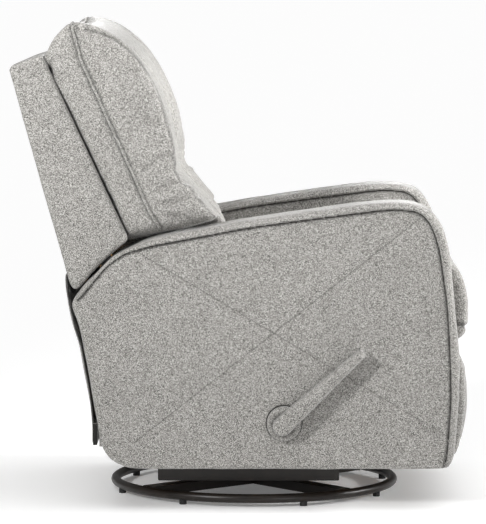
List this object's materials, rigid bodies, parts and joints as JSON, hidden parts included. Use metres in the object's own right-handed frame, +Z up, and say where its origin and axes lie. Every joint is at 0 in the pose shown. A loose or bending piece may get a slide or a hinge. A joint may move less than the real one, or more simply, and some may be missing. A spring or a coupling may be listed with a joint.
{
  "type": "swivel glider recliner",
  "caption": "Upholstered recliner on a round swivel base, with a gliding seat, a reclining back and a lever-worked folding footrest.",
  "frame": {"origin": "on the floor, under the swivel axis", "axes": "+X to the front of the chair, +Y to the sitter's left, +Z up along the swivel axis"},
  "size_m": [0.9846, 0.778, 1.0414],
  "materials": {
    "woven_fabric": "heathered light grey weave",
    "bronze_powder_coat": "dark bronze powder coat, satin",
    "mechanism_steel": "black electrocoat",
    "zinc_steel": "zinc plated",
    "frame_timber": "raw plywood and softwood",
    "glide_plastic": "black moulded"
  },
  "bodies": {
    "base": {"base_ring": "bronze_powder_coat", "cross_arm_long": "bronze_powder_coat", "cross_arms_short": "bronze_powder_coat", "floor_glides": "glide_plastic", "swivel_plate_lower": "bronze_powder_coat", "ball_race": "zinc_steel", "king_pin": "zinc_steel"},
    "turntable": {"swivel_plate_upper": "bronze_powder_coat", "glide_stand_r": "bronze_powder_coat", "glide_stand_l": "bronze_powder_coat", "turntable_bridge": "bronze_powder_coat", "glide_pins_upper": "zinc_steel"},
    "glide_links_front": {"glide_link_front_r": "mechanism_steel", "glide_link_front_l": "mechanism_steel"},
    "glide_links_rear": {"glide_link_rear_r": "mechanism_steel", "glide_link_rear_l": "mechanism_steel"},
    "chair": {"glide_rail_r": "mechanism_steel", "glide_rail_l": "mechanism_steel", "glide_pins_lower": "zinc_steel", "cross_tube_front": "mechanism_steel", "cross_tube_rear": "mechanism_steel", "side_plate_r": "mechanism_steel", "side_plate_l": "mechanism_steel", "side_bolts": "zinc_steel", "pivot_rivets": "zinc_steel", "arm_cover_r": "woven_fabric", "arm_cover_l": "woven_fabric", "arm_frame_r": "frame_timber", "arm_frame_l": "frame_timber", "front_rail": "woven_fabric", "rear_rail": "woven_fabric", "seat_deck": "frame_timber", "seat_cushion": "woven_fabric", "rear_flap": "woven_fabric"},
    "lever": {"drive_tube": "mechanism_steel", "lever_boss": "woven_fabric", "lever_paddle": "woven_fabric", "drive_crank_r": "mechanism_steel", "drive_crank_l": "mechanism_steel"},
    "drive_links": {"drive_link_r": "mechanism_steel", "drive_link_l": "mechanism_steel"},
    "foot_links_front": {"footrest_link_front_r": "mechanism_steel", "footrest_link_front_l": "mechanism_steel"},
    "foot_links_rear": {"footrest_link_rear_r": "mechanism_steel", "footrest_link_rear_l": "mechanism_steel"},
    "foot_carriers": {"footrest_carrier_r": "mechanism_steel", "footrest_carrier_l": "mechanism_steel"},
    "footrest": {"footrest_bracket_r": "mechanism_steel", "footrest_bracket_l": "mechanism_steel", "footrest_board": "frame_timber", "footrest_pad": "woven_fabric"},
    "backrest": {"back_shell": "woven_fabric", "back_pillow": "woven_fabric", "back_top_rail": "frame_timber", "back_bottom_rail": "frame_timber", "back_upright_r": "frame_timber", "back_upright_l": "frame_timber", "back_bracket_r": "mechanism_steel", "back_bracket_l": "mechanism_steel"}
  },
  "joints": [
    {"name": "swivel", "type": "hinge", "parent": "base", "child": "turntable", "pos_m": [0, 0, 0.036], "axis": [0, 0, 1], "continuous": true},
    {"name": "glide", "type": "hinge", "parent": "turntable", "child": "glide_links_front", "pos_m": [0.14, 0, 0.222], "axis": [0, -1, 0], "range_deg": [-14, 14]},
    {"name": "glide_rear", "type": "hinge", "parent": "turntable", "child": "glide_links_rear", "pos_m": [-0.14, 0, 0.222], "axis": [0, -1, 0], "range_deg": [-14, 14]},
    {"name": "glide_hang", "type": "hinge", "parent": "glide_links_front", "child": "chair", "pos_m": [0.14, 0, 0.102], "axis": [0, -1, 0], "range_deg": [-14, 14]},
    {"name": "lever_turn", "type": "hinge", "parent": "chair", "child": "lever", "pos_m": [0.066, 0, 0.189], "axis": [0, -1, 0], "range_deg": [0, 110]},
    {"name": "drive_link_pivot", "type": "hinge", "parent": "lever", "child": "drive_links", "pos_m": [0.04064, 0, 0.13462], "axis": [0, -1, 0], "range_deg": [-110, 0]},
    {"name": "foot_front", "type": "hinge", "parent": "chair", "child": "foot_links_front", "pos_m": [0.23, 0, 0.3], "axis": [0, -1, 0], "range_deg": [0, 110]},
    {"name": "foot_rear", "type": "hinge", "parent": "chair", "child": "foot_links_rear", "pos_m": [0.165, 0, 0.274], "axis": [0, -1, 0], "range_deg": [0, 110]},
    {"name": "foot_carry", "type": "hinge", "parent": "foot_links_front", "child": "foot_carriers", "pos_m": [0.1497, 0, 0.1278], "axis": [0, -1, 0], "range_deg": [-110, 0]},
    {"name": "foot_tip", "type": "hinge", "parent": "foot_carriers", "child": "footrest", "pos_m": [0.385, 0, 0.23], "axis": [0, -1, 0], "range_deg": [0, 90]},
    {"name": "recline", "type": "hinge", "parent": "chair", "child": "backrest", "pos_m": [-0.23, 0, 0.33], "axis": [0, -1, 0], "range_deg": [0, 32], "deforming": ["rear_flap"]}
  ],
  "couplings": [
    {"joint": "glide_rear", "follows": "glide", "ratio": 1},
    {"joint": "glide_hang", "follows": "glide", "ratio": -1},
    {"joint": "drive_link_pivot", "follows": "lever_turn", "ratio": -1},
    {"joint": "foot_front", "follows": "lever_turn", "ratio": 1},
    {"joint": "foot_rear", "follows": "lever_turn", "ratio": 1},
    {"joint": "foot_carry", "follows": "lever_turn", "ratio": -1},
    {"joint": "foot_tip", "follows": "lever_turn", "ratio": 0.81818}
  ]
}
